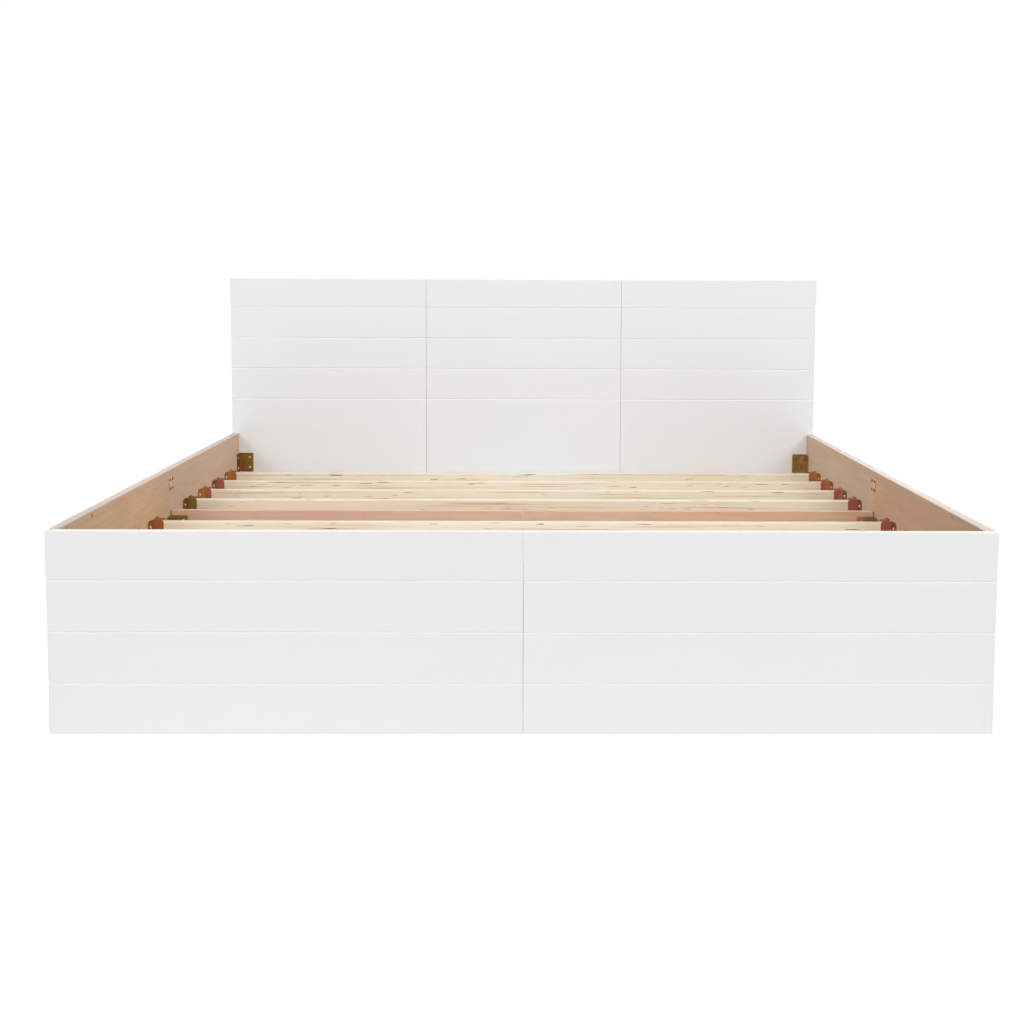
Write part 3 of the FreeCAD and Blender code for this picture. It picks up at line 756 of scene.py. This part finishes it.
class BED_OT_battens(bpy.types.Operator):
    """Finish the battens behind the headboard, drill them and set their countersunk screws"""

    bl_idname = "bed.battens"
    bl_label = "Headboard battens"

    SCREW_INSET = 40 * MM  # from a panel's side edges
    ROW_INSET = 28 * MM  # from the batten's long edges
    SCREW_LENGTH = 28 * MM
    SCREW_TAPER = 22 * MM  # depth at which the shank starts to taper
    HOLE_DEPTH = 16 * MM

    def execute(self, context):
        colours, details = context.scene.bed_colours, context.scene.bed_details
        face = finish("batten_veneer", veneer, colours.inside, 0)
        edge = finish("batten_plywood_edge", plies, colours.inside, 1, details.veneer)
        zinc = finish("passivated_zinc_screw", passivated_zinc, colours.pale, colours.pale, colours.gold)
        for name in ("headboard_batten_upper", "headboard_batten_lower"):
            places = self.places(name)
            self.drilled(name, places, details, [face, edge])
            grid = bmesh.new()
            wide = details.batten_screw
            for at in places:
                profile = [(0, -self.SCREW_LENGTH), (0.1 * wide, -self.SCREW_LENGTH)]
                profile += [(0.4 * wide, -self.SCREW_TAPER), (0.4 * wide, -0.75 * wide)]
                profile += [(0.9 * wide, -0.5 * MM), (0.87 * wide, -0.3 * MM)]
                crossed_head(grid, profile, details.round_steps, at, 0.62, 1.4 * MM)
            new_piece(name + "_screws", grid, [zinc], "frame", "yellow_zinc_steel")
        return {"FINISHED"}

    def places(self, name):
        """Screws in two rows, four to each headboard panel."""
        low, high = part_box(name)
        found = []
        for panel in HEAD_PANELS:
            left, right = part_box(panel)
            inner = max(left.x, low.x) + self.SCREW_INSET
            outer = min(right.x, high.x) - self.SCREW_INSET
            for share in (0, 1 / 3, 2 / 3, 1):
                x = inner + share * (outer - inner)
                for z in (low.z + self.ROW_INSET, high.z - self.ROW_INSET):
                    found.append(facing(Vector((x, high.y, z)), Vector((0, 1, 0))))
        return found

    def drilled(self, node, places, details, materials):
        """A copy of the batten with countersunk holes, which stands for it."""
        board, cutter = bmesh.new(), bmesh.new()
        board.from_mesh(NODES[node].data)
        bmesh.ops.remove_doubles(board, verts=board.verts, dist=WELD_REACH)
        wide = details.batten_screw
        for at in places:
            hole = [(0, -self.HOLE_DEPTH), (0.45 * wide, -self.HOLE_DEPTH), (0.45 * wide, -0.7 * wide)]
            hole += [(wide, 0), (wide, MM), (0, MM)]
            lathe(cutter, hole, details.round_steps, at)
        made = new_piece(node + "_drilled", board, materials, "frame", "raw_plywood", node)
        holes = bpy.data.meshes.new("holes")
        bmesh.ops.recalc_face_normals(cutter, faces=cutter.faces)
        cutter.to_mesh(holes)
        cutter.free()
        tool = bpy.data.objects.new("holes", holes)
        bpy.context.scene.collection.objects.link(tool)
        cut = made.modifiers.new("holes", "BOOLEAN")
        cut.object = tool
        shape = made.evaluated_get(bpy.context.evaluated_depsgraph_get())
        made.data = bpy.data.meshes.new_from_object(shape)
        made.modifiers.clear()
        bpy.data.objects.remove(tool)
        for side in made.data.polygons:
            side.material_index = 0 if abs(side.normal.y) > 0.5 else 1


class BED_OT_drawers(bpy.types.Operator):
    """Finish the drawer fronts in lacquer and the boxes in birch plywood, and set the cam fittings"""

    bl_idname = "bed.drawers"
    bl_label = "Drawers"

    FIGURE_LINES = 4.0
    CAM_INSET = 34 * MM  # from the ends of a drawer side
    CAM_RISE = 40 * MM  # over its lower edge
    CAM_DROP = 32 * MM  # below its upper edge

    def execute(self, context):
        colours, details = context.scene.bed_colours, context.scene.bed_details
        lacquer = finish("white_satin_lacquer", white_lacquer, colours.lacquer)
        behind = finish("drawer_front_veneer", veneer, colours.inside, 1)
        sawn = finish("drawer_front_edge", plies, colours.inside, 0, details.veneer)
        side_face = finish("drawer_side_birch", veneer, colours.drawer, 0, self.FIGURE_LINES)
        side_edge = finish("drawer_side_edge", plies, colours.drawer, 1, details.veneer)
        back_face = finish("drawer_back_birch", veneer, colours.drawer, 1, self.FIGURE_LINES)
        back_edge = finish("drawer_back_edge", plies, colours.drawer, 0, details.veneer)
        zinc = finish("bright_zinc_rolled_steel", rolled_zinc, colours.bright)
        for name in DRAWERS:
            way = SIDES[name.split("_")[1]]

            def front(normal, centre, way=way):
                if normal.x * way < -0.9:
                    return 1
                return 2 if normal.z < -0.9 else 0

            dress(name + "_front", [lacquer, behind, sawn], front)
            soften(name + "_front", details.edge_round)
            grid = bmesh.new()
            for part, inward in (("_side_1", 1), ("_side_2", -1)):
                dress(name + part, [side_face, side_edge], lambda n, c: 0 if abs(n.y) > 0.5 else 1)
                soften(name + part, details.edge_round / 2)
                self.cams(grid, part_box(name + part), inward, details)
            new_piece(name + "_cams", grid, [zinc], name, "bright_zinc_steel")
            dress(name + "_back", [back_face, back_edge], lambda n, c: 0 if abs(n.x) > 0.5 else 1)
            soften(name + "_back", details.edge_round / 2)
            dress(name + "_bottom", [back_face])
        return {"FINISHED"}

    def cams(self, grid, box, inward, details):
        """Cam discs in a drawer side: two that draw up the front and two that draw up the back."""
        low, high = box
        wide = details.cam
        disc = [(0, -2 * MM), (wide, -2 * MM), (wide, 0.2 * MM), (0.95 * wide, 0.5 * MM)]
        for x in (low.x + self.CAM_INSET, high.x - self.CAM_INSET):
            for z in (low.z + self.CAM_RISE, high.z - self.CAM_DROP):
                at = Vector((x, high.y if inward > 0 else low.y, z))
                place = facing(at, Vector((0, inward, 0)))
                crossed_head(grid, disc, details.round_steps, place, 0.55, 1.5 * MM)


class BED_OT_slides(bpy.types.Operator):
    """Finish the telescopic drawer slides in bright zinc and screw them to the drawers"""

    bl_idname = "bed.slides"
    bl_label = "Drawer slides"

    STEEL = 1.2 * MM  # thickness of the hat section, whose crown carries the screws
    SCREW_SHARES = (0.06, 0.35, 0.65, 0.94)  # along a slide member
    SCREW_LENGTH = 10 * MM

    def execute(self, context):
        colours, details = context.scene.bed_colours, context.scene.bed_details
        zinc = finish("bright_zinc_rolled_steel", rolled_zinc, colours.bright)
        dress("slide_fixed_channels", [zinc])
        for name in DRAWERS:
            for part in ("_slide_inner", "_slide_middle"):
                dress(name + part, [zinc])
            centre = sum(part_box(name + "_bottom"), Vector()).y / 2
            grid = bmesh.new()
            for points in islands(name + "_slide_inner"):
                low = Vector(map(min, zip(*points)))
                high = Vector(map(max, zip(*points)))
                out = 1 if low.y > centre else -1
                y = low.y + self.STEEL if out > 0 else high.y - self.STEEL
                for share in self.SCREW_SHARES:
                    at = Vector((low.x + share * (high.x - low.x), y, (low.z + high.z) / 2))
                    place = facing(at, Vector((0, out, 0)))
                    pan_head_screw(grid, details.pan_head, self.SCREW_LENGTH, details.round_steps, place)
            new_piece(name + "_slide_screws", grid, [zinc], name, "bright_zinc_steel")
        return {"FINISHED"}


class BED_OT_stage(bpy.types.Operator):
    """Set the floor, the soft light and the camera"""

    bl_idname = "bed.stage"
    bl_label = "Stage"

    AIM = Vector((0, 1.0, 0.15))  # low on the headboard
    UNDER_TOP = Vector((0, 0.11, 0))
    FLOOR_SIZE = 60
    FLOOR_DROP = 0.5 * MM
    NEAR, FAR = 1.6, 6.0  # the floor whitens between these distances from the bed's middle
    UNDER_BED = 30 * MM  # width over which the floor under the bed darkens

    def execute(self, context):
        scene = context.scene
        stage, colours = scene.bed_stage, scene.bed_colours
        scene.view_settings.view_transform = "Standard"
        self.sky(scene, stage)
        self.floor(scene, stage, colours)
        for side, way in SIDES.items():
            place = (way * 2.3, -1.6, 2.0)
            self.softbox(scene, "softbox_" + side, place, self.AIM, (1.4, 1.0), stage.side_power, 110)
        self.softbox(scene, "softbox_top", (0, 0.1, 2.7), self.UNDER_TOP, (2.4, 1.8), stage.top_power, 70)
        self.softbox(scene, "softbox_front", (0, -6.5, 2.6), self.AIM, (3.2, 1.6), stage.front_power, 180)
        self.camera(scene, stage)
        return {"FINISHED"}

    def seen_plainly(self, tree):
        """One for camera, glossy and transmission rays."""
        rays = add_node(tree, "LightPath").outputs
        direct = {0: rays["Is Camera Ray"], 1: rays["Is Glossy Ray"]}
        direct = add_node(tree, "Math", direct, operation="MAXIMUM")
        return add_node(tree, "Math", {0: direct, 1: rays["Is Transmission Ray"]}, operation="MAXIMUM")

    def sky(self, scene, stage):
        """Even light from all round, which the camera sees as white."""
        world = bpy.data.worlds.new("studio")
        scene.world = world
        world.use_nodes = True
        tree = world.node_tree
        tree.nodes.clear()
        ends = {"Value": self.seen_plainly(tree), "To Min": stage.ambient, "To Max": 1.0}
        level = add_node(tree, "MapRange", ends)
        light = add_node(tree, "Background", {"Color": (1, 1, 1), "Strength": level})
        add_node(tree, "OutputWorld", {"Surface": light})

    def floor(self, scene, stage, colours):
        """Pale floor that keeps the bed's shadow and whitens away from it."""
        grid = bmesh.new()
        bmesh.ops.create_grid(grid, x_segments=1, y_segments=1, size=self.FLOOR_SIZE)
        mesh = bpy.data.meshes.new("studio_floor")
        grid.to_mesh(mesh)
        grid.free()
        made = bpy.data.objects.new("studio_floor", mesh)
        made.location.z = -self.FLOOR_DROP
        scene.collection.objects.link(made)
        material, tree, shader = new_material("pale_studio_floor")
        place = add_node(tree, "TexCoord").outputs["Object"]
        cloud = add_node(tree, "TexNoise", {"Vector": place, "Scale": 0.7})
        tones = {0: cloud, 6: shade(colours.floor, 0.98), 7: colours.floor}
        tint = add_node(tree, "Mix", tones, data_type="RGBA")
        away = add_node(tree, "VectorMath", {0: place}, operation="LENGTH")
        ends = {"Value": away, "From Min": self.NEAR, "From Max": self.FAR, "To Min": stage.floor_near}
        white = add_node(tree, "MapRange", ends)
        # Under the bed the floor has only the light that reaches it, so the gaps between boards show dark.
        half = Vector(map(abs, CAD_BOX[0]))
        reach = add_node(tree, "VectorMath", {0: place}, operation="ABSOLUTE")
        beyond = add_node(tree, "VectorMath", {0: reach, 1: half}, operation="SUBTRACT")
        sides = add_node(tree, "SeparateXYZ", {0: beyond})
        outside = add_node(tree, "Math", {0: sides.outputs["X"], 1: sides.outputs["Y"]}, operation="MAXIMUM")
        share = add_node(tree, "MapRange", {"Value": outside, "From Min": -self.UNDER_BED, "From Max": 0.0})
        open_floor = add_node(tree, "Math", {0: white, 1: share}, operation="MULTIPLY")
        glow = add_node(tree, "Math", {0: self.seen_plainly(tree), 1: open_floor}, operation="MULTIPLY")
        look = {"Base Color": tint, "Roughness": 0.9, "Emission Color": (1, 1, 1), "Emission Strength": glow}
        connect(tree, shader, look)
        mesh.materials.append(material)

    def softbox(self, scene, name, place, target, size, power, spread):
        """Soft rectangular lamp that faces a target."""
        lamp = bpy.data.lights.new(name, "AREA")
        lamp.shape = "RECTANGLE"
        lamp.size, lamp.size_y = size
        lamp.energy = power
        lamp.spread = math.radians(spread)
        made = bpy.data.objects.new(name, lamp)
        made.location = place
        made.rotation_euler = (target - made.location).to_track_quat("-Z", "Y").to_euler()
        scene.collection.objects.link(made)

    def camera(self, scene, stage):
        """Camera at the foot end."""
        data = bpy.data.cameras.new("camera")
        data.sensor_fit = "HORIZONTAL"
        data.sensor_width = 36
        data.lens = stage.lens
        data.shift_x, data.shift_y = stage.shift
        made = bpy.data.objects.new("camera", data)
        flat = math.cos(stage.pitch)
        ahead = Vector((math.sin(stage.yaw) * flat, math.cos(stage.yaw) * flat, -math.sin(stage.pitch)))
        turn = ahead.to_track_quat("-Z", "Y").to_matrix() @ Matrix.Rotation(stage.roll, 3, "Z")
        made.matrix_world = Matrix.Translation(stage.eye) @ turn.to_4x4()
        scene.collection.objects.link(made)
        scene.camera = made


OPERATORS = (
    BED_OT_white_boards,
    BED_OT_side_rails,
    BED_OT_divider,
    BED_OT_slats,
    BED_OT_steel_fittings,
    BED_OT_screws,
    BED_OT_battens,
    BED_OT_drawers,
    BED_OT_slides,
    BED_OT_stage,
)


class BED_PT_pieces(bpy.types.Panel):
    """Pieces of the bed, in the order in which they are made"""

    bl_idname = "BED_PT_pieces"
    bl_label = "Bed With Drawers"
    bl_space_type = "VIEW_3D"
    bl_region_type = "UI"
    bl_category = "Bed"

    def draw(self, context):
        for operator in OPERATORS:
            self.layout.operator(operator.bl_idname)


GROUPS = {"bed_colours": BedColours, "bed_details": BedDetails, "bed_stage": BedStage}
CLASSES = (*GROUPS.values(), *OPERATORS, BED_PT_pieces)


def register():
    for item in CLASSES:
        bpy.utils.register_class(item)
    for name, group in GROUPS.items():
        setattr(bpy.types.Scene, name, PointerProperty(type=group))


def unregister():
    for name in GROUPS:
        delattr(bpy.types.Scene, name)
    for item in reversed(CLASSES):
        bpy.utils.unregister_class(item)


def main():
    register()
    for operator in OPERATORS:
        group, name = operator.bl_idname.split(".")
        getattr(getattr(bpy.ops, group), name)()


if __name__ == "__main__":
    main()
